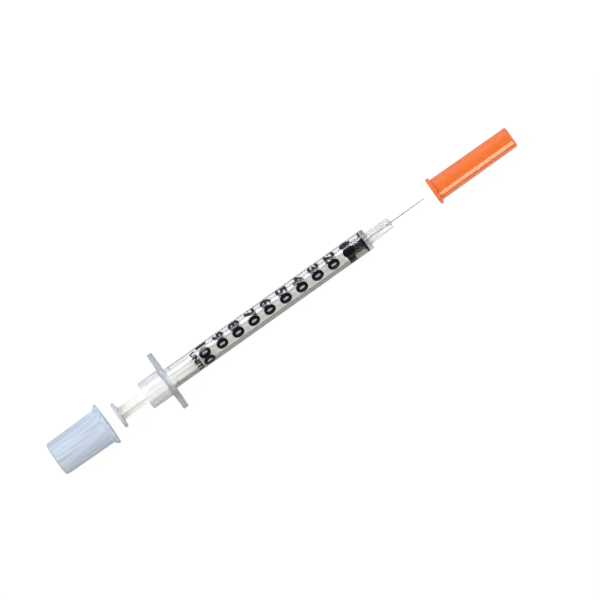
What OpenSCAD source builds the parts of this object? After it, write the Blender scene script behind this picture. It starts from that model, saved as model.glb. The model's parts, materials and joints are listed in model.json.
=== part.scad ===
// Disposable 1 ml insulin syringe with a fixed needle, drawn with both caps taken off.
// Lengths are in millimetres. X runs along the syringe to the needle, Y along the finger flange and Z up.
// The origin is on the barrel's axis, at the front face of the finger flange.

/* [Barrel] */
// Outer diameter of the tube
barrel_od = 6.7; // [6.4:0.1:7.2]
// Diameter of the bore that the stopper runs in
bore_d = 4.7; // [4.5:0.05:5.1]
// Length of the tube, from the finger flange to the front shoulder
barrel_l = 71.7; // [66:0.1:76]
// Thickness of the end wall between the bore and the shoulder
front_wall = 1.3; // [1:0.1:1.8]
// Radius round the front shoulder
shoulder_r = 0.5; // [0.2:0.1:0.8]
// Height of the ridge at the back of the bore that keeps the stopper in
ridge_h = 0.1; // [0.05:0.01:0.14]
// Distance of that ridge from the front face of the finger flange
ridge_x = 1.6; // [1:0.1:3]

/* [Finger flange] */
// Span over the two wings
flange_span = 19.3; // [17:0.1:23]
// Depth over the two flat sides that the syringe lies on
flange_depth = 14; // [13.9:0.1:15.5]
// Thickness of the plate
flange_t = 1.7; // [1.2:0.1:2]
// Length of each flat side
flange_flat = 4.4; // [3:0.1:6]
// Radius of the outline at the tip of a wing
wing_r = 3.4; // [2.5:0.1:4.5]
// Radius of the outline where a flat side turns to a wing
shoulder_turn_r = 2; // [1:0.1:3]
// Radius on the edges of the plate
flange_edge_r = 0.3; // [0.1:0.05:0.5]

/* [Collar] */
// Outer diameter of the collar that the plunger cap grips
collar_od = 9; // [8.7:0.1:9.6]
// Length of the collar behind the finger flange
collar_l = 7.1; // [5:0.1:9]
// Wall of the collar
collar_wall = 0.95; // [0.7:0.05:1.1]
// Radius of the fillets at the foot of the collar and of the tube
foot_r = 0.45; // [0.2:0.05:0.6]
// Radius on the collar's rear edge
collar_edge_r = 0.3; // [0.1:0.05:0.4]
// Length of the funnel that leads from the collar into the bore
funnel_l = 0.7; // [0.4:0.1:1]

/* [Nose] */
// Diameter over the fins that the needle shield grips
fin_d = 4; // [3.9:0.05:4.2]
// Thickness of one fin
fin_t = 0.7; // [0.5:0.05:0.9]
// Number of fins round the nose
fin_count = 4; // [4:1:6]
// Length of the finned foot of the nose
fin_l = 3.6; // [3:0.1:4.5]
// Diameter of the core between the fins
core_d = 2.7; // [2.4:0.1:3]
// Diameter of the tip where it leaves the fins
tip_d = 3.6; // [3.4:0.05:3.7]
// Diameter of the tip at its front
tip_front_d = 3.4; // [3:0.05:3.4]
// Length of the tip in front of the fins
tip_l = 4.4; // [3.5:0.1:5.5]
// Radius on the front edge of the tip
tip_edge_r = 0.35; // [0.2:0.05:0.5]
// Diameter of the channel from the bore to the needle
channel_d = 0.7; // [0.5:0.05:0.9]

/* [Needle] */
// Outer diameter of the needle
needle_od = 0.33; // [0.3:0.01:0.4]
// Inner diameter of the needle
needle_id = 0.18; // [0.14:0.01:0.2]
// Length of the needle in front of the nose
needle_out = 12.7; // [8:0.1:13]
// Angle of the ground bevel to the needle's axis
bevel_angle = 12; // [9:1:20]
// Distance from the front shoulder to the needle's inner end
needle_set = 0.8; // [0.5:0.1:2]

/* [Needle adhesive] */
// Diameter of the adhesive well at the front of the nose
well_d = 1.6; // [1.2:0.05:1.9]
// Depth of the adhesive well
well_l = 1.7; // [1.2:0.1:2.4]
// Height of the adhesive's round crest over the nose
crest_h = 0.35; // [0.2:0.05:0.5]

/* [Plunger rod] */
// Width over the ribs of the rod
rod_d = 3.9; // [3.5:0.1:4.1]
// Thickness of a rib
rib_t = 0.9; // [0.7:0.05:1.1]
// Radius in the corners between the ribs
rib_root_r = 0.35; // [0.1:0.05:0.45]
// Length of rod between the collar and the thumb disc, with the plunger pushed home
rod_out = 9.1; // [6:0.1:12]
// Diameter of the thumb disc
disc_d = 8.4; // [7.6:0.1:8.5]
// Thickness of the thumb disc
disc_t = 1; // [0.7:0.05:1.3]
// Radius on the rim of the thumb disc
disc_edge_r = 0.3; // [0.1:0.05:0.3]
// Radius of the gussets between the ribs and the thumb disc
gusset_r = 1.1; // [0.5:0.1:1.6]
// Diameter of the guide disc behind the stopper
guide_d = 4.3; // [4:0.05:4.35]
// Thickness of the guide disc
guide_t = 0.7; // [0.5:0.05:1]
// Diameter of the neck that holds the stopper
neck_d = 1.5; // [1.2:0.1:1.7]
// Length of the neck
neck_l = 1.9; // [1.5:0.1:2.1]
// Diameter of the barbed head
barb_d = 2.4; // [2.1:0.1:2.6]
// Diameter of the blunt front of the head
barb_front_d = 1.2; // [0.8:0.1:1.5]
// Length of the barbed head
barb_l = 2; // [1.5:0.1:2.2]
// Thickness of the square shoulder behind the barb
barb_back = 0.4; // [0.2:0.05:0.5]

/* [Stopper] */
// Diameter over the stopper's lands
stopper_d = 4.64; // [4.6:0.01:4.65]
// Diameter of the waist between the lands
waist_d = 3.9; // [3.7:0.05:4.2]
// Length of the stopper
stopper_l = 6.9; // [6.3:0.1:7.5]
// Length of the rear land
rear_land = 2.4; // [2:0.1:2.8]
// Length of the front sealing rib
front_rib = 0.8; // [0.6:0.05:1.1]
// Radius on the edges of the lands
land_edge_r = 0.25; // [0.1:0.05:0.3]
// Radius of the fillets from the lands to the waist
waist_r = 0.3; // [0.1:0.05:0.35]
// Gap between the stopper and the end of the bore, with the plunger pushed home
home_gap = 0.1; // [0.05:0.05:0.3]

/* [Needle shield] */
// Length of the needle shield
shield_l = 28.4; // [26:0.1:32]
// Outer diameter of the shield behind its flange
shield_d = 7.1; // [6.9:0.1:7.6]
// Outer diameter of the shield at its closed end
shield_end_d = 6.8; // [6.5:0.1:6.9]
// Diameter of the shield's bore past the part that grips the fins
shield_bore_d = 4; // [3.9:0.05:4]
// Thickness of the shield's closed end
shield_end_wall = 1.2; // [0.8:0.1:2]
// Diameter of the flange at the mouth
shield_flange_d = 8.8; // [8.4:0.1:9.4]
// Thickness of that flange
shield_flange_t = 1.2; // [0.9:0.05:1.5]
// Radius on the flange's edges
shield_flange_r = 0.35; // [0.1:0.05:0.4]
// Radius round the closed end
shield_end_r = 0.55; // [0.3:0.05:0.9]
// Depth of the mouth that grips the fins
grip_l = 4.2; // [3.4:0.1:5]
// Width of the lead-in at the mouth
mouth_lead = 0.4; // [0.2:0.05:0.5]
// Gap between the needle's point and the shield's mouth, as laid out
shield_gap = 2.8; // [1:0.1:10]

/* [Plunger cap] */
// Length of the plunger cap
cap_l = 18.8; // [18.6:0.1:22]
// Outer diameter of the cap at its mouth
cap_d = 11.4; // [11:0.1:11.8]
// Outer diameter of the cap at its closed end
cap_end_d = 11; // [10.6:0.1:11.2]
// Diameter of the flange at the mouth
cap_flange_d = 13.7; // [13.2:0.1:13.8]
// Thickness of the rim of that flange
cap_flange_t = 0.7; // [0.5:0.05:1]
// Length of the cone from the flange's rim to the body
cap_flare = 1.1; // [0.6:0.1:1.6]
// Radius on the flange's edges
cap_flange_r = 0.2; // [0.1:0.05:0.24]
// Radius round the closed end
cap_end_r = 0.9; // [0.5:0.1:1.2]
// Thickness of the closed end
cap_end_wall = 0.8; // [0.6:0.05:0.9]
// Number of lengthwise grooves inside the cap, which leave ribs that grip the collar
groove_count = 16; // [8:1:18]
// Width of one of those grooves
groove_w = 1.2; // [0.6:0.05:1.3]
// Depth of one of those grooves
groove_depth = 0.2; // [0.1:0.05:0.25]
// Width of the lead-in at the mouth, which clears the fillet at the collar's foot
cap_lead = 0.6; // [0.6:0.05:0.8]
// Gap between the thumb disc and the cap's mouth, as laid out
cap_gap = 3.6; // [1:0.1:10]

/* [Fits] */
// Radial clearance of a cap on what it grips
grip_clearance = 0.06; // [0.02:0.01:0.1]
// Gap between pieces that are glued or pushed together
seat_clearance = 0.01; // [0.01:0.01:0.04]

/* [Hidden] */
$fn = 96;

// How far a cut runs past the faces that it opens
overrun = 0.5;
// Steps in a quarter round, and sides of a disc in the flange's hull
arc_steps = 6;
hull_sides = 48;

// Places along the axis
flange_rear_x = -flange_t;
collar_rear_x = flange_rear_x - collar_l;
disc_front_x = collar_rear_x - rod_out;
disc_rear_x = disc_front_x - disc_t;
bore_end_x = barrel_l - front_wall;
stopper_front_x = bore_end_x - home_gap;
stopper_rear_x = stopper_front_x - stopper_l;
guide_front_x = stopper_rear_x - seat_clearance;
guide_rear_x = guide_front_x - guide_t;
fins_end_x = barrel_l + fin_l;
nose_end_x = fins_end_x + tip_l;
needle_inner_x = barrel_l + needle_set;
needle_point_x = nose_end_x + needle_out;
shield_mouth_x = needle_point_x + shield_gap;
shield_end_x = shield_mouth_x + shield_l;
cap_mouth_x = disc_rear_x - cap_gap;
cap_end_x = cap_mouth_x - cap_l;

// Radii that follow from the sizes above
barrel_r = barrel_od / 2;
bore_r = bore_d / 2;
collar_r = collar_od / 2;
collar_bore_r = collar_r - collar_wall;
needle_r = needle_od / 2;
needle_hole_r = needle_r + seat_clearance;
grip_r = fin_d / 2 + grip_clearance;
shield_bore_r = shield_bore_d / 2;
cap_bore_r = collar_r + grip_clearance;
// The fins start inside the end wall, so that they and the tube are one moulding
fin_root_x = barrel_l - front_wall / 2;

// Points of an arc about [x, y] from one angle to another
function arc(x, y, r, from, to, steps = arc_steps) =
    [for (i = [0:steps]) let (a = from + (to - from) * i / steps) [x + r * cos(a), y + r * sin(a)]];

// Turns an outline of [radius, place] points about the syringe's axis
module turned() {
    rotate([0, 90, 0]) rotate_extrude() children();
}

// Copies a shape round the syringe's axis
module around(count) {
    for (i = [0:count - 1]) rotate([i * 360 / count, 0, 0]) children();
}

// A round plate with rounded edges, at a place on the finger flange
module flange_disc(r, y, z) {
    translate([0, y, z]) turned() polygon(concat(
        [[0, flange_rear_x]],
        arc(r - flange_edge_r, flange_rear_x + flange_edge_r, flange_edge_r, -90, 0, 3),
        arc(r - flange_edge_r, -flange_edge_r, flange_edge_r, 0, 90, 3),
        [[0, 0]]
    ));
}

module finger_flange() {
    wing_y = flange_span / 2 - wing_r;
    side_z = flange_depth / 2 - shoulder_turn_r;
    hull() {
        for (s = [-1, 1]) {
            flange_disc(wing_r, s * wing_y, 0, $fn = hull_sides);
            for (t = [-1, 1]) flange_disc(shoulder_turn_r, s * flange_flat / 2, t * side_z, $fn = hull_sides);
        }
    }
}

// The turned outside: collar, tube with the fillets at its foot, core of the nose and tapered tip
module turned_outside() {
    turned() polygon(concat(
        [[0, collar_rear_x]],
        arc(collar_r - collar_edge_r, collar_rear_x + collar_edge_r, collar_edge_r, -90, 0),
        arc(collar_r + foot_r, flange_rear_x - foot_r, foot_r, 180, 90),
        arc(barrel_r + foot_r, foot_r, foot_r, 270, 180),
        arc(barrel_r - shoulder_r, barrel_l - shoulder_r, shoulder_r, 0, 90),
        [[core_d / 2, barrel_l], [core_d / 2, fins_end_x], [tip_d / 2, fins_end_x]],
        arc(tip_front_d / 2 - tip_edge_r, nose_end_x - tip_edge_r, tip_edge_r, 0, 90),
        [[0, nose_end_x]]
    ));
}

// The fins, cut from one turned shape so that their crests are round
module fins() {
    crest_r = fin_d / 2;
    lead = (fin_d - tip_d) / 2;
    intersection() {
        turned() polygon([
            [0, fin_root_x], [crest_r, fin_root_x], [crest_r, fins_end_x - 2 * lead],
            [crest_r - lead, fins_end_x], [0, fins_end_x]
        ]);
        around(fin_count)
            translate([fin_root_x, -fin_t / 2, 0]) cube([fins_end_x - fin_root_x, fin_t, fin_d]);
    }
}

// Everything that is open inside the barrel: collar, funnel, bore, channel and adhesive well.
// A round ridge is left standing in the bore, which the stopper can't pass.
module barrel_hollow() {
    ridge_r = 4 * ridge_h;
    turned() difference() {
        polygon([
            [0, collar_rear_x - overrun], [collar_bore_r, collar_rear_x - overrun],
            [collar_bore_r, flange_rear_x], [bore_r + funnel_l, flange_rear_x],
            [bore_r, flange_rear_x + funnel_l], [bore_r, bore_end_x], [channel_d / 2, bore_end_x],
            [channel_d / 2, needle_inner_x], [needle_hole_r, needle_inner_x],
            [needle_hole_r, nose_end_x - well_l], [well_d / 2, nose_end_x],
            [well_d / 2, nose_end_x + overrun], [0, nose_end_x + overrun]
        ]);
        translate([bore_r + ridge_r - ridge_h, ridge_x]) circle(r = ridge_r);
    }
}

module barrel() {
    color([0.87, 0.9, 0.95, 0.4]) difference() {
        union() {
            turned_outside();
            finger_flange();
            fins();
        }
        barrel_hollow();
    }
}

// Steel tube with its point ground to a bevel
module needle() {
    color("silver") difference() {
        translate([needle_inner_x, 0, 0]) rotate([0, 90, 0])
            cylinder(r = needle_r, h = needle_point_x - needle_inner_x);
        translate([needle_inner_x - overrun, 0, 0]) rotate([0, 90, 0])
            cylinder(d = needle_id, h = needle_point_x - needle_inner_x + 2 * overrun);
        translate([needle_point_x, 0, -needle_r]) rotate([0, bevel_angle - 90, 0])
            translate([0, -needle_od, 0]) cube([needle_od, needle_od * 2, needle_od * 10]);
    }
}

// Bead of cured adhesive that fills the well round the needle
module needle_adhesive() {
    bead_r = well_d / 2 - seat_clearance;
    color([0.93, 0.94, 0.96, 0.6]) turned() polygon([
        [needle_hole_r, nose_end_x - well_l + seat_clearance], [bead_r, nose_end_x],
        for (i = [1:arc_steps]) let (a = 90 * i / arc_steps)
            [needle_hole_r + (bead_r - needle_hole_r) * cos(a), nose_end_x + crest_h * sin(a)]
    ]);
}

// The rod's barbed head, or with a clearance the pocket for it
module barb(clearance = 0) {
    neck_end_x = guide_front_x + neck_l;
    barb_end_x = neck_end_x + barb_l;
    turned() polygon([
        [0, guide_front_x - guide_t / 2], [neck_d / 2 + clearance, guide_front_x - guide_t / 2],
        [neck_d / 2 + clearance, neck_end_x - clearance], [barb_d / 2 + clearance, neck_end_x - clearance],
        [barb_d / 2 + clearance, neck_end_x + barb_back], [barb_front_d / 2 + clearance, barb_end_x + clearance],
        [0, barb_end_x + clearance]
    ]);
}

// The cross section of the rod: four ribs with rounded roots
module rod_section() {
    root = rib_t / 2 + rib_root_r;
    difference() {
        union() {
            square([rod_d, rib_t], center = true);
            square([rib_t, rod_d], center = true);
            square(2 * root, center = true);
        }
        for (y = [-1, 1], z = [-1, 1]) translate([y * root, z * root]) circle(r = rib_root_r);
    }
}

// A curved gusset from the crest of each rib to the thumb disc
module gussets() {
    around(4) translate([0, -rib_t / 2, 0]) rotate([90, 0, 180]) mirror([1, 0, 0])
        linear_extrude(rib_t) translate([disc_front_x, rod_d / 2]) difference() {
            translate([-disc_t / 2, -rib_t / 2]) square([gusset_r + disc_t / 2, gusset_r + rib_t / 2]);
            translate([gusset_r, gusset_r]) circle(r = gusset_r);
            translate([gusset_r, -rib_t / 2]) square([overrun, gusset_r + rib_t]);
        }
}

module plunger_rod() {
    color("whitesmoke") union() {
        turned() polygon(concat(
            [[0, disc_rear_x]],
            arc(disc_d / 2 - disc_edge_r, disc_rear_x + disc_edge_r, disc_edge_r, -90, 0),
            arc(disc_d / 2 - disc_edge_r, disc_front_x - disc_edge_r, disc_edge_r, 0, 90),
            [[0, disc_front_x]]
        ));
        translate([disc_front_x - disc_t / 2, 0, 0]) rotate([0, 90, 0])
            linear_extrude(guide_rear_x + guide_t / 2 - disc_front_x + disc_t / 2) rod_section();
        gussets();
        translate([guide_rear_x, 0, 0]) rotate([0, 90, 0]) cylinder(d = guide_d, h = guide_t);
        barb();
    }
}

// Rubber stopper: a long rear land, a waist and a thin sealing rib at the front
module stopper() {
    land_r = stopper_d / 2;
    neck_r = waist_d / 2;
    waist_rear_x = stopper_rear_x + rear_land;
    waist_front_x = stopper_front_x - front_rib;
    color([0.08, 0.09, 0.1]) difference() {
        turned() polygon(concat(
            [[0, stopper_rear_x]],
            arc(land_r - land_edge_r, stopper_rear_x + land_edge_r, land_edge_r, -90, 0),
            arc(land_r - land_edge_r, waist_rear_x - land_edge_r, land_edge_r, 0, 60),
            arc(neck_r + waist_r, waist_rear_x + waist_r, waist_r, 240, 180),
            arc(neck_r + waist_r, waist_front_x - waist_r, waist_r, 180, 120),
            arc(land_r - land_edge_r, waist_front_x + land_edge_r, land_edge_r, -60, 0),
            arc(land_r - land_edge_r, stopper_front_x - land_edge_r, land_edge_r, 0, 90),
            [[0, stopper_front_x]]
        ));
        barb(seat_clearance);
    }
}

module needle_shield() {
    body_x = shield_mouth_x + shield_flange_t;
    grip_end_x = shield_mouth_x + grip_l;
    bore_end = shield_end_x - shield_end_wall;
    rim_r = shield_flange_d / 2 - shield_flange_r;
    color([0.95, 0.48, 0.21]) difference() {
        turned() polygon(concat(
            [[0, shield_mouth_x]],
            arc(rim_r, shield_mouth_x + shield_flange_r, shield_flange_r, -90, 0),
            arc(rim_r, body_x - shield_flange_r, shield_flange_r, 0, 90),
            [[shield_d / 2, body_x]],
            arc(shield_end_d / 2 - shield_end_r, shield_end_x - shield_end_r, shield_end_r, 0, 90),
            [[0, shield_end_x]]
        ));
        turned() polygon([
            [0, shield_mouth_x - overrun], [grip_r + mouth_lead + overrun, shield_mouth_x - overrun],
            [grip_r, shield_mouth_x + mouth_lead], [grip_r, grip_end_x],
            [shield_bore_r, grip_end_x + grip_r - shield_bore_r],
            [shield_bore_r, bore_end], [0, bore_end]
        ]);
    }
}

module plunger_cap() {
    flare_x = cap_mouth_x - cap_flange_t;
    body_x = flare_x - cap_flare;
    bore_end = cap_end_x + cap_end_wall;
    rim_r = cap_flange_d / 2 - cap_flange_r;
    color([0.8, 0.86, 0.93, 0.6]) difference() {
        turned() polygon(concat(
            [[0, cap_end_x]],
            arc(cap_end_d / 2 - cap_end_r, cap_end_x + cap_end_r, cap_end_r, -90, 0),
            [[cap_d / 2, body_x]],
            arc(rim_r, flare_x + cap_flange_r, cap_flange_r, -45, 0),
            arc(rim_r, cap_mouth_x - cap_flange_r, cap_flange_r, 0, 90),
            [[0, cap_mouth_x]]
        ));
        turned() polygon([
            [0, bore_end], [cap_bore_r, bore_end], [cap_bore_r, cap_mouth_x - cap_lead],
            [cap_bore_r + cap_lead + overrun, cap_mouth_x + overrun], [0, cap_mouth_x + overrun]
        ]);
        around(groove_count) translate([bore_end, -groove_w / 2, cap_bore_r - groove_depth])
            cube([cap_l, groove_w, 2 * groove_depth]);
    }
}

barrel();
needle();
needle_adhesive();
plunger_rod();
stopper();
needle_shield();
plunger_cap();
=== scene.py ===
import json
import math

import bmesh
import bpy
from mathutils import Matrix, Vector

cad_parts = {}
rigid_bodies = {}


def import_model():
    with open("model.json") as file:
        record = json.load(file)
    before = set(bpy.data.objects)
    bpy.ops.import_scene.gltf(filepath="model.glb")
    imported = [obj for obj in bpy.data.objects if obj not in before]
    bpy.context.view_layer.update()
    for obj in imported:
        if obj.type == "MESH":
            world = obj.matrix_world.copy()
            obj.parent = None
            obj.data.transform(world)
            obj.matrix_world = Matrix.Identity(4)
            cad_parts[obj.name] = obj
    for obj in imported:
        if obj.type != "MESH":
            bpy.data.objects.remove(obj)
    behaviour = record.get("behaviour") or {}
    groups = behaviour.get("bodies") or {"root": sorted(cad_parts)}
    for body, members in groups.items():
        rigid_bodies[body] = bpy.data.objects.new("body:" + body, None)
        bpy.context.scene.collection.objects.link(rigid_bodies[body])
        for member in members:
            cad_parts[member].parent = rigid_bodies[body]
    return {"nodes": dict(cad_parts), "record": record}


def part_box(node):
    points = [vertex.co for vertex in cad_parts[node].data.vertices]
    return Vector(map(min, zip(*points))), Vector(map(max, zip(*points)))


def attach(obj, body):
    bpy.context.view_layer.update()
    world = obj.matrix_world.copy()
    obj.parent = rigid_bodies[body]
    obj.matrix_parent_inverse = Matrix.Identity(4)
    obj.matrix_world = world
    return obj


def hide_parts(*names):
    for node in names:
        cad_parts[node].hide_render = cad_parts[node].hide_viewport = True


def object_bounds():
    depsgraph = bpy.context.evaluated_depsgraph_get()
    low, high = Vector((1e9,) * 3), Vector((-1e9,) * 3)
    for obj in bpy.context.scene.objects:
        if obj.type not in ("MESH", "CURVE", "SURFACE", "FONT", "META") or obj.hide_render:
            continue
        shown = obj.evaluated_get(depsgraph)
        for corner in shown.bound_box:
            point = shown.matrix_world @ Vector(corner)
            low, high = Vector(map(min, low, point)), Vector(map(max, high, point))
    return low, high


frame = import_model()
cad_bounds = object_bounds()

for spare in [o for o in bpy.data.objects if o.name in ("Cube", "Light", "Camera")]:
    bpy.data.objects.remove(spare)


# Barrel: one injection moulding of clear polypropylene, with the graduated tube, the finger flange,
# the collar for the plunger cap and the finned nose. Polypropylene is never as clear as glass: its
# polished skin is glossy, while the wall takes a faint cool haze.

MM = 0.001


def linear(hex_colour):
    """Turns an sRGB hex colour to the linear colour that Blender works in."""
    channels = [int(hex_colour[i:i + 2], 16) / 255 for i in (1, 3, 5)]
    return (*[c / 12.92 if c <= 0.04045 else ((c + 0.055) / 1.055) ** 2.4 for c in channels], 1)


def add_node(tree, kind, inputs=None, **settings):
    """Adds a node. An input is set by its name or number, to a value or to another node's output."""
    node = tree.nodes.new(kind)
    for name, value in settings.items():
        setattr(node, name, value)
    for name, value in (inputs or {}).items():
        if isinstance(value, bpy.types.NodeSocket):
            tree.links.new(value, node.inputs[name])
        else:
            node.inputs[name].default_value = value
    return node


def new_material(name):
    """Makes an empty node material and returns it with its tree and its Object coordinates."""
    material = bpy.data.materials.new(name)
    material.use_nodes = True
    tree = material.node_tree
    tree.nodes.clear()
    place = add_node(tree, "ShaderNodeTexCoord").outputs["Object"]
    return material, tree, place


def per_mm(size):
    """The scale of a pattern whose parts are this many millimetres apart."""
    return 1 / (size * MM)


def finish_cad_node(name, material):
    """Gives a node of the CAD model its finish."""
    frame["nodes"][name].material_slots[0].material = material


flange_rear, flange_front, nose_start = -1.6 * MM, 0.1 * MM, 71.6 * MM
flange_blend, tube_blend, nose_blend = 0.2 * MM, 0.3 * MM, 0.6 * MM
collar_matt, flange_matt, nose_matt = 0.75, 1.0, 0.5


def clear_polypropylene():
    """Moulded clear polypropylene: polished on the tube, finely matt on the collar, nose and flange.
    The flange is seen through its whole width, so its haze adds up to a cooler grey."""
    material, tree, place = new_material("clear_polypropylene")
    x = add_node(tree, "ShaderNodeSeparateXYZ", {"Vector": place}).outputs["X"]
    collar = add_node(tree, "ShaderNodeMapRange", {
        "Value": x, "From Min": flange_rear, "From Max": flange_rear + flange_blend,
        "To Min": collar_matt, "To Max": flange_matt})
    tube = add_node(tree, "ShaderNodeMapRange", {
        "Value": x, "From Min": flange_front + tube_blend, "From Max": flange_front})
    nose = add_node(tree, "ShaderNodeMapRange", {
        "Value": x, "From Min": nose_start, "From Max": nose_start + nose_blend,
        "To Max": nose_matt})
    rear = add_node(tree, "ShaderNodeMath", {
        0: collar.outputs["Result"], 1: tube.outputs["Result"]}, operation="MULTIPLY")
    matt = add_node(tree, "ShaderNodeMath", {
        0: rear.outputs["Value"], 1: nose.outputs["Result"]}, operation="MAXIMUM").outputs["Value"]
    on_flange = add_node(tree, "ShaderNodeMapRange", {
        "Value": rear.outputs["Value"], "From Min": 0.8, "From Max": 1.0})
    tone = add_node(tree, "ShaderNodeMix", {
        "Factor": on_flange.outputs["Result"], "A": linear("#F3F4F6"), "B": linear("#E1E7EF")},
        data_type="RGBA")
    clearness = add_node(tree, "ShaderNodeMapRange", {"Value": matt, "To Min": 1.0, "To Max": 0.8})
    roughness = add_node(tree, "ShaderNodeMapRange", {"Value": matt, "To Min": 0.03, "To Max": 0.3})
    along = add_node(tree, "ShaderNodeMapping", {"Vector": place, "Scale": (0.1, 1, 1)})
    ripple = add_node(tree, "ShaderNodeTexNoise", {
        "Vector": along.outputs["Vector"], "Scale": per_mm(2.4), "Detail": 1.0})
    bump = add_node(tree, "ShaderNodeBump", {
        "Height": ripple.outputs["Fac"], "Strength": 0.3, "Distance": 0.002 * MM})
    wall = add_node(tree, "ShaderNodeBsdfPrincipled", {
        "Base Color": tone.outputs["Result"], "Roughness": roughness.outputs["Result"], "IOR": 1.49,
        "Transmission Weight": clearness.outputs["Result"], "Normal": bump.outputs["Normal"],
        "Coat Weight": 0.8, "Coat Roughness": 0.13, "Coat IOR": 1.49})
    passed = add_node(tree, "ShaderNodeBsdfTransparent", {"Color": linear("#FFFFFF")})
    path = add_node(tree, "ShaderNodeLightPath")
    mix = add_node(tree, "ShaderNodeMixShader", {
        0: path.outputs["Is Shadow Ray"], 1: wall.outputs["BSDF"], 2: passed.outputs["BSDF"]})
    depth = add_node(tree, "ShaderNodeVolumeAbsorption", {"Color": linear("#BCBEC1"), "Density": 55.0})
    add_node(tree, "ShaderNodeOutputMaterial", {
        "Surface": mix.outputs["Shader"], "Volume": depth.outputs["Volume"]})
    return material


finish_cad_node("barrel", clear_polypropylene())


# Printed scale: black ink, pad-printed straight on the tube and cured. Lines every two units, long
# ones at the tens, run round the far side, and plain numbers and the unit legend face the user.

tube_r = frame["record"]["mounts"][0]["dims"]["r_mm"] * MM
ink_lift = 0.012 * MM
ink_thickness = 0.012 * MM
wrap_step = 0.2 * MM
zero_lead = 0.2 * MM
zero_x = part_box("stopper")[1][0] + zero_lead
number_lead = 0.1 * MM
full_scale, line_every, number_every = 100, 2, 10
unit_step = frame["record"]["behaviour"]["joints"][0]["range_m"][1] / full_scale
line_width = 0.26 * MM
line_foot = math.radians(148)
short_line_head = math.radians(108)
long_line_head = math.radians(74)
number_height = 3.75 * MM
number_width = {2: 1.2, 3: 1.26}
number_middle = {2: math.radians(16), 3: math.radians(-1)}
legend_height = 1.8 * MM
legend_width = 1.12
legend_middle = math.radians(-8)
legend_units = 105.6


def printing_ink():
    """Black pad-printing ink: a thin glossy film that is a touch uneven where it is thin."""
    material, tree, place = new_material("printing_ink")
    grain = add_node(tree, "ShaderNodeTexNoise", {"Vector": place, "Scale": per_mm(0.25), "Detail": 3.0})
    tone = add_node(tree, "ShaderNodeMix", {
        "Factor": grain.outputs["Fac"], "A": linear("#050608"), "B": linear("#0D0F13")},
        data_type="RGBA")
    film = add_node(tree, "ShaderNodeBsdfPrincipled", {
        "Base Color": tone.outputs["Result"], "Roughness": 0.16, "Specular IOR Level": 0.5})
    add_node(tree, "ShaderNodeOutputMaterial", {"Surface": film.outputs["BSDF"]})
    return material


ink = printing_ink()


def round_tube(point, start):
    """Wraps a flat point round the tube: x runs down from the start angle and y runs to the needle."""
    angle = start - point.x / tube_r
    r = tube_r + ink_lift + point.z
    return Vector((point.y, r * math.sin(angle), r * math.cos(angle)))


def print_on_tube(name, mesh_parts):
    """Joins flat inked shapes, wraps them round the tube and gives the film its thickness."""
    bm = bmesh.new()
    for mesh, start in mesh_parts:
        part = bmesh.new()
        part.from_mesh(mesh)
        reach = max(v.co.x for v in part.verts)
        for i in range(1, int(reach / wrap_step) + 1):
            bmesh.ops.bisect_plane(
                part, geom=part.verts[:] + part.edges[:] + part.faces[:],
                plane_co=(i * wrap_step, 0, 0), plane_no=(1, 0, 0))
        for v in part.verts:
            v.co = round_tube(v.co, start)
        wrapped = bpy.data.meshes.new("wrapped")
        part.to_mesh(wrapped)
        part.free()
        bm.from_mesh(wrapped)
        bpy.data.meshes.remove(wrapped)
    bmesh.ops.remove_doubles(bm, verts=bm.verts, dist=0.001 * MM)
    bmesh.ops.solidify(bm, geom=bm.faces[:], thickness=-ink_thickness)
    mesh = bpy.data.meshes.new(name)
    bm.to_mesh(mesh)
    bm.free()
    mesh.shade_smooth()
    mesh.set_sharp_from_angle(angle=math.radians(30))
    mesh.materials.append(ink)
    piece = bpy.data.objects.new(name, mesh)
    bpy.context.scene.collection.objects.link(piece)
    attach(piece, "barrel")


letter_boldness = 0.059
letter_curve_steps = 16


def flat_text(words, height, width_share, x):
    """A flat mesh of plain bold characters, their left edge at zero and their middle line at x."""
    curve = bpy.data.curves.new("words", "FONT")
    curve.body = words
    curve.offset = letter_boldness
    curve.resolution_u = letter_curve_steps
    holder = bpy.data.objects.new("words", curve)
    bpy.context.scene.collection.objects.link(holder)
    mesh = bpy.data.meshes.new_from_object(holder)
    bpy.data.objects.remove(holder)
    low = [min(v.co[i] for v in mesh.vertices) for i in (0, 1)]
    high = [max(v.co[i] for v in mesh.vertices) for i in (0, 1)]
    scale = height / (high[1] - low[1])
    mesh.transform(Matrix.Translation((-low[0], -(low[1] + high[1]) / 2, 0)))
    mesh.transform(Matrix.Diagonal((scale * width_share, scale, scale, 1)))
    mesh.transform(Matrix.Translation((0, x, 0)))
    return mesh


def half_turn(mesh):
    """Half the angle that a flat text takes up round the tube."""
    return max(v.co.x for v in mesh.vertices) / 2 / tube_r


def flat_line(x, length):
    """A flat line of the scale, square across the tube."""
    bm = bmesh.new()
    bmesh.ops.create_grid(bm, x_segments=1, y_segments=1, size=0.5)
    bmesh.ops.scale(bm, vec=(length, line_width, 1), verts=bm.verts)
    bmesh.ops.translate(bm, vec=(length / 2, x, 0), verts=bm.verts)
    mesh = bpy.data.meshes.new("line")
    bm.to_mesh(mesh)
    bm.free()
    return mesh


lines = []
for unit in range(0, full_scale + 1, line_every):
    head = long_line_head if unit % number_every == 0 else short_line_head
    lines.append((flat_line(zero_x - unit * unit_step, (line_foot - head) * tube_r), line_foot))
print_on_tube("scale_lines", lines)

numbers = []
for unit in range(number_every, full_scale + 1, number_every):
    digits = len(str(unit))
    x = zero_x + number_lead - unit * unit_step
    mesh = flat_text(str(unit), number_height, number_width[digits], x)
    numbers.append((mesh, number_middle[digits] + half_turn(mesh)))
print_on_tube("scale_numbers", numbers)

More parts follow.
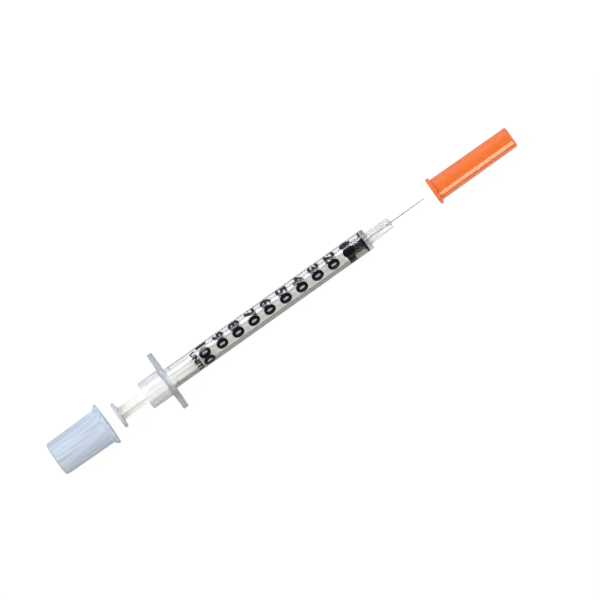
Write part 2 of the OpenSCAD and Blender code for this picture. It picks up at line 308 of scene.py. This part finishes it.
legend = flat_text("UNITS", legend_height, legend_width, zero_x - legend_units * unit_step)
print_on_tube("unit_legend", [(legend, legend_middle + half_turn(legend))])


# Needle: stainless steel tube of 29 gauge, drawn down in steps and cut, with its point ground to a
# bevel. It carries a film of silicone oil, and its rear end is held in the nose.

def drawn_steel():
    """Drawn stainless steel: bright, with draw lines along the tube, drawn coarser than real ones."""
    material, tree, place = new_material("drawn_stainless_steel")
    along = add_node(tree, "ShaderNodeMapping", {"Vector": place, "Scale": (0.02, 1, 1)})
    draw = add_node(tree, "ShaderNodeTexNoise", {
        "Vector": along.outputs["Vector"], "Scale": per_mm(0.05), "Detail": 2.0})
    rough = add_node(tree, "ShaderNodeMapRange", {
        "Value": draw.outputs["Fac"], "To Min": 0.2, "To Max": 0.38})
    steel = add_node(tree, "ShaderNodeBsdfPrincipled", {
        "Base Color": linear("#B4B6B9"), "Metallic": 1.0, "Roughness": rough.outputs["Result"]})
    add_node(tree, "ShaderNodeOutputMaterial", {"Surface": steel.outputs["BSDF"]})
    return material


finish_cad_node("needle", drawn_steel())


# Adhesive: a drop of clear acrylic resin, run into the well round the needle and cured under
# ultraviolet. It stands as a low round bead on the nose's front and holds the needle.

def cured_adhesive():
    """Cured acrylic adhesive: clear and glossy, with a faint milkiness."""
    material, tree, place = new_material("cured_adhesive")
    haze = add_node(tree, "ShaderNodeTexNoise", {"Vector": place, "Scale": per_mm(0.5), "Detail": 2.0})
    tone = add_node(tree, "ShaderNodeMix", {
        "Factor": haze.outputs["Fac"], "A": linear("#E9EDF5"), "B": linear("#FBFCFF")},
        data_type="RGBA")
    resin = add_node(tree, "ShaderNodeBsdfPrincipled", {
        "Base Color": tone.outputs["Result"], "Roughness": 0.12, "IOR": 1.5,
        "Transmission Weight": 0.85})
    add_node(tree, "ShaderNodeOutputMaterial", {"Surface": resin.outputs["BSDF"]})
    return material


finish_cad_node("needle_adhesive", cured_adhesive())


# Plunger rod: one injection moulding of white polyethylene, with a cruciform rod, the thumb disc at
# its rear end and the barbed head that the stopper is pushed over.

disc_thickness = 1.0 * MM
disc_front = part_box("plunger_rod")[0][0] + disc_thickness
disc_blend = 0.3 * MM


def white_polyethylene():
    """Natural white polyethylene: satin and waxy, with painted shade that makes the thumb disc greyer.
    The grain of its skin is drawn coarser than real, so that it shows."""
    material, tree, place = new_material("white_polyethylene")
    along = add_node(tree, "ShaderNodeMapping", {"Vector": place, "Scale": (0.25, 1, 1)})
    flow = add_node(tree, "ShaderNodeTexNoise", {
        "Vector": along.outputs["Vector"], "Scale": per_mm(3), "Detail": 2.0})
    tone = add_node(tree, "ShaderNodeMix", {
        "Factor": flow.outputs["Fac"], "A": linear("#E4E3E1"), "B": linear("#EFEEED")},
        data_type="RGBA")
    # Painted shade: the thumb disc's colour is turned grey, standing in for the shade that its edge-on
    # rim lies in.
    x = add_node(tree, "ShaderNodeSeparateXYZ", {"Vector": place}).outputs["X"]
    painted_disc_shade_mask = add_node(tree, "ShaderNodeMapRange", {
        "Value": x, "From Min": disc_front + disc_blend, "From Max": disc_front})
    painted_disc_shade = add_node(tree, "ShaderNodeMix", {
        "Factor": painted_disc_shade_mask.outputs["Result"], "A": tone.outputs["Result"], "B": linear("#C2C4CA")},
        data_type="RGBA")
    grain = add_node(tree, "ShaderNodeTexNoise", {"Vector": place, "Scale": per_mm(0.18), "Detail": 2.0})
    bump = add_node(tree, "ShaderNodeBump", {
        "Height": grain.outputs["Fac"], "Strength": 0.3, "Distance": 0.01 * MM})
    wax = add_node(tree, "ShaderNodeBsdfPrincipled", {
        "Base Color": painted_disc_shade.outputs["Result"], "Roughness": 0.38, "IOR": 1.51,
        "Subsurface Weight": 0.25, "Subsurface Radius": (1.0, 0.9, 0.8), "Subsurface Scale": 0.8 * MM,
        "Normal": bump.outputs["Normal"]})
    add_node(tree, "ShaderNodeOutputMaterial", {"Surface": wax.outputs["BSDF"]})
    return material


finish_cad_node("plunger_rod", white_polyethylene())


# Stopper: black butyl rubber, pressed in a mould, washed and given a film of silicone oil. Its two
# lands are squeezed by the bore, so that the clear wall shows them black right to its edge.

stopper_rear, stopper_front = [corner[0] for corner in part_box("stopper")]
land_r = 2.353 * MM
waist_r = 1.9 * MM
rear_land = 2.4 * MM
front_rib = 0.8 * MM
land_round = 0.1 * MM
waist_fillet = 0.3 * MM


def turned_piece(name, body, profile, rounds, turns=96):
    """Spins an outline of (place, radius) points about the syringe's axis, its corners rounded."""
    bm = bmesh.new()
    points = [bm.verts.new((x, 0, r)) for x, r in profile]
    for a, b in zip(points, points[1:]):
        bm.edges.new((a, b))
    bm.verts.ensure_lookup_table()
    corners = [(bm.verts[i], size) for i, size in rounds.items()]
    for corner, size in corners:
        bmesh.ops.bevel(
            bm, geom=[corner], offset=size, offset_type="OFFSET", segments=6, profile=0.5,
            affect="VERTICES", material=-1)
    bmesh.ops.spin(
        bm, geom=bm.verts[:] + bm.edges[:], cent=(0, 0, 0), axis=(1, 0, 0),
        angle=2 * math.pi, steps=turns, use_merge=True)
    bmesh.ops.remove_doubles(bm, verts=bm.verts, dist=0.0005 * MM)
    bmesh.ops.recalc_face_normals(bm, faces=bm.faces)
    mesh = bpy.data.meshes.new(name)
    bm.to_mesh(mesh)
    bm.free()
    mesh.shade_smooth()
    mesh.set_sharp_from_angle(angle=math.radians(35))
    piece = bpy.data.objects.new(name, mesh)
    bpy.context.scene.collection.objects.link(piece)
    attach(piece, body)
    return piece


def black_rubber(name, shine):
    """Moulded black rubber under silicone oil: deep black, its wet shine lost where it is pressed."""
    material, tree, place = new_material(name)
    bloom = add_node(tree, "ShaderNodeTexNoise", {"Vector": place, "Scale": per_mm(0.8), "Detail": 3.0})
    tone = add_node(tree, "ShaderNodeMix", {
        "Factor": bloom.outputs["Fac"], "A": linear("#06080A"), "B": linear("#0F1317")},
        data_type="RGBA")
    bump = add_node(tree, "ShaderNodeBump", {
        "Height": bloom.outputs["Fac"], "Strength": 0.2, "Distance": 0.02 * MM})
    rubber = add_node(tree, "ShaderNodeBsdfPrincipled", {
        "Base Color": tone.outputs["Result"], "Roughness": 0.18, "IOR": 1.52,
        "Specular IOR Level": shine, "Normal": bump.outputs["Normal"]})
    add_node(tree, "ShaderNodeOutputMaterial", {"Surface": rubber.outputs["BSDF"]})
    return material


waist_rear = stopper_rear + rear_land
waist_front = stopper_front - front_rib
stopper = turned_piece("rubber_stopper", "plunger", [
    (stopper_rear, 0), (stopper_rear, land_r), (waist_rear, land_r),
    (waist_rear + waist_fillet, waist_r), (waist_front - waist_fillet, waist_r),
    (waist_front, land_r), (stopper_front, land_r), (stopper_front, 0)],
    {1: land_round, 2: land_round, 3: waist_fillet, 4: waist_fillet, 5: land_round, 6: land_round})
stopper.data.materials.append(black_rubber("black_rubber", 0.5))
stopper.data.materials.append(black_rubber("black_rubber_pressed_on_the_wall", 0.0))
for face in stopper.data.polygons:
    if math.hypot(face.center.y, face.center.z) > land_r - land_round:
        face.material_index = 1
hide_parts("stopper")


# Needle shield: a closed, tapered tube of orange polyethylene, injection moulded with a flange to
# pull it off by. Its mouth grips the fins of the nose until then.

def orange_polyethylene():
    """Orange polyethylene: glossy, a little translucent, with faint flow marks along its length.
    The grain of its skin is drawn coarser than real, so that it shows."""
    material, tree, place = new_material("orange_polyethylene")
    along = add_node(tree, "ShaderNodeMapping", {"Vector": place, "Scale": (0.12, 1, 1)})
    flow = add_node(tree, "ShaderNodeTexNoise", {
        "Vector": along.outputs["Vector"], "Scale": per_mm(1.6), "Detail": 3.0})
    tone = add_node(tree, "ShaderNodeMix", {
        "Factor": flow.outputs["Fac"], "A": linear("#E9702D"), "B": linear("#F07A36")},
        data_type="RGBA")
    grain = add_node(tree, "ShaderNodeTexNoise", {"Vector": place, "Scale": per_mm(0.16), "Detail": 2.0})
    bump = add_node(tree, "ShaderNodeBump", {
        "Height": grain.outputs["Fac"], "Strength": 0.3, "Distance": 0.0012 * MM})
    shell = add_node(tree, "ShaderNodeBsdfPrincipled", {
        "Base Color": tone.outputs["Result"], "Roughness": 0.3, "IOR": 1.51,
        "Specular IOR Level": 0.2, "Coat Weight": 1.0, "Coat Roughness": 0.08, "Coat IOR": 1.5,
        "Subsurface Weight": 0.3, "Subsurface Radius": (1.0, 0.35, 0.12), "Subsurface Scale": 1.2 * MM,
        "Normal": bump.outputs["Normal"]})
    add_node(tree, "ShaderNodeOutputMaterial", {"Surface": shell.outputs["BSDF"]})
    return material


finish_cad_node("needle_shield", orange_polyethylene())


# Plunger cap: a thin cup of natural polyethylene, injection moulded with a trumpet flange and with
# ribs inside that grip the barrel's collar until it is pulled off.

def natural_polyethylene():
    """Natural polyethylene, thin enough to glow: milky and cool, with a satin skin and the fine
    lengthwise streaks that it took on as it flowed along the core."""
    material, tree, place = new_material("natural_polyethylene")
    along = add_node(tree, "ShaderNodeMapping", {"Vector": place, "Scale": (0.03, 1, 1)})
    flow = add_node(tree, "ShaderNodeTexNoise", {
        "Vector": along.outputs["Vector"], "Scale": per_mm(0.5), "Detail": 2.0})
    streaks = add_node(tree, "ShaderNodeMapRange", {
        "Value": flow.outputs["Fac"], "From Min": 0.36, "From Max": 0.64})
    tone = add_node(tree, "ShaderNodeMix", {
        "Factor": streaks.outputs["Result"], "A": linear("#C2CEDA"), "B": linear("#EAF1F7")},
        data_type="RGBA")
    bump = add_node(tree, "ShaderNodeBump", {
        "Height": flow.outputs["Fac"], "Strength": 0.4, "Distance": 0.05 * MM})
    milk = add_node(tree, "ShaderNodeBsdfPrincipled", {
        "Base Color": tone.outputs["Result"], "Roughness": 0.42, "IOR": 1.51,
        "Transmission Weight": 0.5, "Normal": bump.outputs["Normal"]})
    passed = add_node(tree, "ShaderNodeBsdfTransparent", {"Color": linear("#C4CBD6")})
    path = add_node(tree, "ShaderNodeLightPath")
    mix = add_node(tree, "ShaderNodeMixShader", {
        0: path.outputs["Is Shadow Ray"], 1: milk.outputs["BSDF"], 2: passed.outputs["BSDF"]})
    add_node(tree, "ShaderNodeOutputMaterial", {"Surface": mix.outputs["Shader"]})
    return material


finish_cad_node("plunger_cap", natural_polyethylene())


# Table and room: a white sheet under the syringe, which keeps its soft shadow, in a room that is
# bright and cool on the window's side, dim and warmer opposite, and dim overhead.

def seen_directly(tree, straight, off, through):
    """A value by how a ray comes: straight from the camera, off the object or through it."""
    path = add_node(tree, "ShaderNodeLightPath")
    glossy = add_node(tree, "ShaderNodeMath", {
        0: path.outputs["Is Glossy Ray"], 1: off}, operation="MULTIPLY")
    second = add_node(tree, "ShaderNodeMapRange", {
        "Value": path.outputs["Is Transmission Ray"], "To Min": glossy.outputs["Value"],
        "To Max": through})
    return add_node(tree, "ShaderNodeMapRange", {
        "Value": path.outputs["Is Camera Ray"], "To Min": second.outputs["Result"],
        "To Max": straight}).outputs["Result"]


sheet_glow = 1.13
glow_share = 0.85
# Where the sheet's painted light and shade change: across the tube, behind the flange, before the nose
# and beside the shield.
window_edge = (-1 * MM, 8 * MM)
behind_flange = (-1 * MM, -3 * MM)
before_nose = (71.5 * MM, 73 * MM)
before_shield = (84 * MM, 94 * MM)


def white_sheet():
    """Matt white paper, lit through: most of its brightness is its own, the rest takes the shadow. Light
    and shade are painted on it: the paper is coloured grey on the side away from the window, and what
    glass and gloss show of it has painted shade along the tube on that side; what glass shows is painted
    lighter behind the flange and past the nose, and what gloss shows is painted lighter beside the
    shield."""
    material, tree, place = new_material("white_sheet")
    axes = add_node(tree, "ShaderNodeSeparateXYZ", {"Vector": place}).outputs
    # Painted light: a mask that is bright on the window's side of the syringe and dark opposite.
    painted_window_light = add_node(tree, "ShaderNodeMapRange", {
        "Value": axes["Y"], "From Min": window_edge[0], "From Max": window_edge[1]}).outputs["Result"]
    # Painted shade: what the tube shows through on the far side is darkened along the tube, less so
    # behind the flange and past the nose.
    painted_shade_along_tube = add_node(tree, "ShaderNodeMapRange", {
        "Value": axes["X"], "From Min": behind_flange[0], "From Max": behind_flange[1],
        "To Min": 0.08, "To Max": 0.4})
    by_nose = add_node(tree, "ShaderNodeMapRange", {
        "Value": axes["X"], "From Min": before_nose[0], "From Max": before_nose[1],
        "To Min": painted_shade_along_tube.outputs["Result"], "To Max": 0.75})
    through = add_node(tree, "ShaderNodeMapRange", {
        "Value": painted_window_light, "To Min": by_nose.outputs["Result"], "To Max": 0.88})
    # Painted light and shade in reflections: darkened beside the tube, lighter beside the shield.
    painted_reflection_by_shield = add_node(tree, "ShaderNodeMapRange", {
        "Value": axes["X"], "From Min": before_shield[0], "From Max": before_shield[1],
        "To Min": 0.08, "To Max": 0.8})
    off = add_node(tree, "ShaderNodeMapRange", {
        "Value": painted_window_light, "To Min": painted_reflection_by_shield.outputs["Result"], "To Max": 0.7})
    # Painted light in reflections: the sheet glows brighter in gloss on the side away from the window.
    in_gloss = add_node(tree, "ShaderNodeMapRange", {
        "Value": painted_window_light, "To Min": sheet_glow, "To Max": 0.35})
    fibre = add_node(tree, "ShaderNodeTexNoise", {"Vector": place, "Scale": per_mm(1), "Detail": 2.0})
    bright = add_node(tree, "ShaderNodeMix", {
        "Factor": fibre.outputs["Fac"], "A": linear("#EDEDED"), "B": linear("#F3F3F3")},
        data_type="RGBA")
    # Painted shade: the paper itself is coloured grey on the side away from the window.
    tone = add_node(tree, "ShaderNodeMix", {
        "Factor": painted_window_light, "A": linear("#94938E"), "B": bright.outputs["Result"]},
        data_type="RGBA")
    paper = add_node(tree, "ShaderNodeBsdfDiffuse", {"Color": tone.outputs["Result"]})
    glow = add_node(tree, "ShaderNodeEmission", {
        "Color": (1, 1, 1, 1),
        "Strength": seen_directly(tree, sheet_glow, in_gloss.outputs["Result"], sheet_glow)})
    mix = add_node(tree, "ShaderNodeMixShader", {
        0: seen_directly(tree, glow_share, off.outputs["Result"], through.outputs["Result"]),
        1: paper.outputs["BSDF"], 2: glow.outputs["Emission"]})
    add_node(tree, "ShaderNodeOutputMaterial", {"Surface": mix.outputs["Shader"]})
    return material


table_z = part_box("barrel")[0][2]
table_half = 2000 * MM
bm = bmesh.new()
bmesh.ops.create_grid(bm, x_segments=1, y_segments=1, size=table_half)
bmesh.ops.translate(bm, vec=(0, 0, table_z), verts=bm.verts)
table_mesh = bpy.data.meshes.new("table")
bm.to_mesh(table_mesh)
bm.free()
table_mesh.materials.append(white_sheet())
table = bpy.data.objects.new("table", table_mesh)
bpy.context.scene.collection.objects.link(table)

world = bpy.data.worlds.new("white_room")
bpy.context.scene.world = world
world.use_nodes = True
tree = world.node_tree
tree.nodes.clear()
direction = add_node(tree, "ShaderNodeSeparateXYZ", {
    "Vector": add_node(tree, "ShaderNodeTexCoord").outputs["Generated"]})
side = add_node(tree, "ShaderNodeMapRange", {
    "Value": direction.outputs["Y"], "From Min": -0.8, "From Max": 0.8})
walls = add_node(tree, "ShaderNodeMix", {
    "Factor": side.outputs["Result"], "A": (0.1, 0.098, 0.094, 1), "B": (0.8, 0.84, 0.9, 1)},
    data_type="RGBA")
height = add_node(tree, "ShaderNodeMapRange", {
    "Value": direction.outputs["Z"], "From Min": 0.3, "From Max": 1.0})
ceiling = add_node(tree, "ShaderNodeMix", {
    "Factor": height.outputs["Result"], "A": walls.outputs["Result"], "B": (0.07, 0.075, 0.09, 1)},
    data_type="RGBA")
room_light = add_node(tree, "ShaderNodeBackground", {"Color": ceiling.outputs["Result"]})
room_seen = add_node(tree, "ShaderNodeBackground", {"Color": (1, 1, 1, 1), "Strength": 1.0})
room = add_node(tree, "ShaderNodeMixShader", {
    0: seen_directly(tree, straight=1.0, off=0.0, through=0.1),
    1: room_light.outputs["Background"], 2: room_seen.outputs["Background"]})
add_node(tree, "ShaderNodeOutputWorld", {"Surface": room.outputs["Shader"]})


# Lamps: a cool window that the tube shows as a long streak, and a warm box that the needle shield
# shows as another. The rest light softly from past the syringe's two ends, where the round pieces
# don't mirror them: two boxes overhead, two faint fills opposite the window and one more window.

def soft_box(name, place, aim, size, brightness, hex_colour, through_glass=False):
    """A rectangular lamp of a brightness, where 1 is the brightness of a white sheet."""
    lamp = bpy.data.lights.new(name, "AREA")
    lamp.shape = "RECTANGLE"
    lamp.size, lamp.size_y = size
    lamp.energy = brightness * math.pi * size[0] * size[1]
    lamp.color = linear(hex_colour)[:3]
    holder = bpy.data.objects.new(name, lamp)
    bpy.context.scene.collection.objects.link(holder)
    holder.location = place
    holder.visible_transmission = through_glass
    holder.rotation_euler = (Vector(place) - Vector(aim)).to_track_quat("Z", "Y").to_euler()


middle_x = (cad_bounds[0][0] + cad_bounds[1][0]) / 2
middle = (middle_x, 0, 0)
by_flange = (-20 * MM, 0, 0)
past_shield = (178 * MM, 0, 0)
soft_box(
    "window", place=(by_flange[0], 0.82, 0.61), aim=by_flange,
    size=(0.17, 0.36), brightness=8.0, hex_colour="#F2F5FF", through_glass=True)
soft_box(
    "plunger_end_box", place=(middle_x - 0.75, 0.15, 1.1), aim=middle,
    size=(0.7, 0.9), brightness=4.1, hex_colour="#FDFDFF")
soft_box(
    "needle_end_box", place=(middle_x + 0.75, 0.15, 1.1), aim=middle,
    size=(0.7, 0.9), brightness=3.1, hex_colour="#FFFDFA")
soft_box(
    "shield_box", place=(past_shield[0], -0.84, 0.54), aim=past_shield,
    size=(0.14, 0.7), brightness=8.5, hex_colour="#FFF3DC")
soft_box(
    "plunger_end_fill", place=(middle_x - 0.8, -0.7, 0.6), aim=middle,
    size=(0.6, 0.6), brightness=1.2, hex_colour="#FFFCF8")
soft_box(
    "needle_end_fill", place=(middle_x + 0.8, -0.7, 0.6), aim=middle,
    size=(0.6, 0.6), brightness=1.2, hex_colour="#FFFCF8")
soft_box(
    "plunger_end_window", place=(middle_x - 0.85, 0.75, 0.65), aim=middle,
    size=(0.6, 0.6), brightness=1.9, hex_colour="#F2F5FF")


# Camera: far off, straight over the syringe but for a slight lean to the needle's end, and turned so
# that the syringe lies across the picture with its needle up to the right.

picture_turn = math.radians(35.38)
lean = math.radians(0.8)
aim = Vector((44.8, -3.2, 0)) * MM
distance = 3000 * MM
picture_width = 177.1 * MM
along = Vector((math.cos(lean), 0, -math.sin(lean)))
across = Vector((0, 1, 0))
back = Vector((math.sin(lean), 0, math.cos(lean)))
right = along * math.cos(picture_turn) - across * math.sin(picture_turn)
up = along * math.sin(picture_turn) + across * math.cos(picture_turn)
camera = bpy.data.objects.new("camera", bpy.data.cameras.new("camera"))
bpy.context.scene.collection.objects.link(camera)
camera.data.sensor_width = 36
camera.data.lens = camera.data.sensor_width * distance / picture_width
turn = Matrix((right, up, back)).transposed().to_4x4()
camera.matrix_world = Matrix.Translation(aim + back * distance) @ turn
bpy.context.scene.camera = camera
bpy.context.scene.view_settings.view_transform = "Standard"
